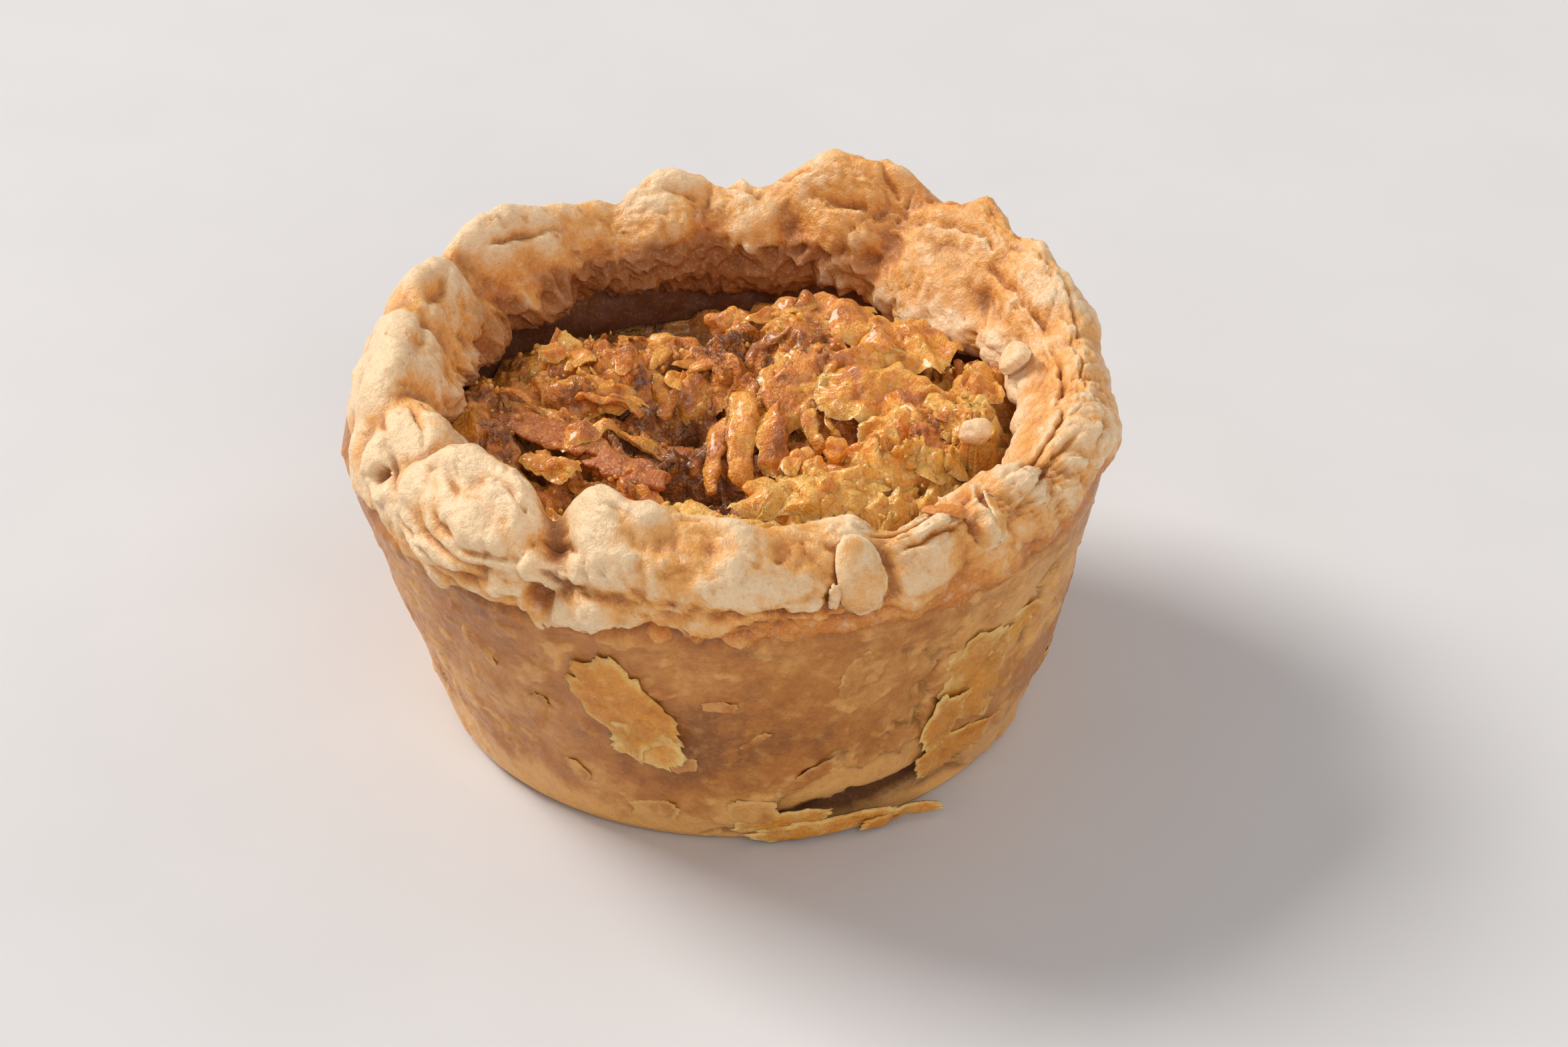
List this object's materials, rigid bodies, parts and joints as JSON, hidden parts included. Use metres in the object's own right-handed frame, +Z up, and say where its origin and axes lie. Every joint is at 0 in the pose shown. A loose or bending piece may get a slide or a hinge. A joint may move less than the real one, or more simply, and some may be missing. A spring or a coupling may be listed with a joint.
{
  "type": "butter tart",
  "caption": "Deep pastry tart with a hand-crimped, lumpy rim and a sunken craggy caramel filling of toasted shreds.",
  "frame": {"origin": "the point of the flat base that lies under the middle of the mouth", "axes": "+Z up, -Y towards the side with the tall crimped knob and the loose flake, +X to that side's right"},
  "size_m": [0.0805, 0.0827, 0.0433],
  "materials": {
    "baked_pastry": "baked short pastry, cream-gold on the rim and tan-brown on the wall, dry and slightly buttery",
    "toasted_filling": "toasted caramel crust of golden, orange and brown shreds, glossy where the sugar shows"
  },
  "bodies": {
    "root": {"pastry_shell": "baked_pastry", "filling": "toasted_filling"}
  },
  "joints": []
}
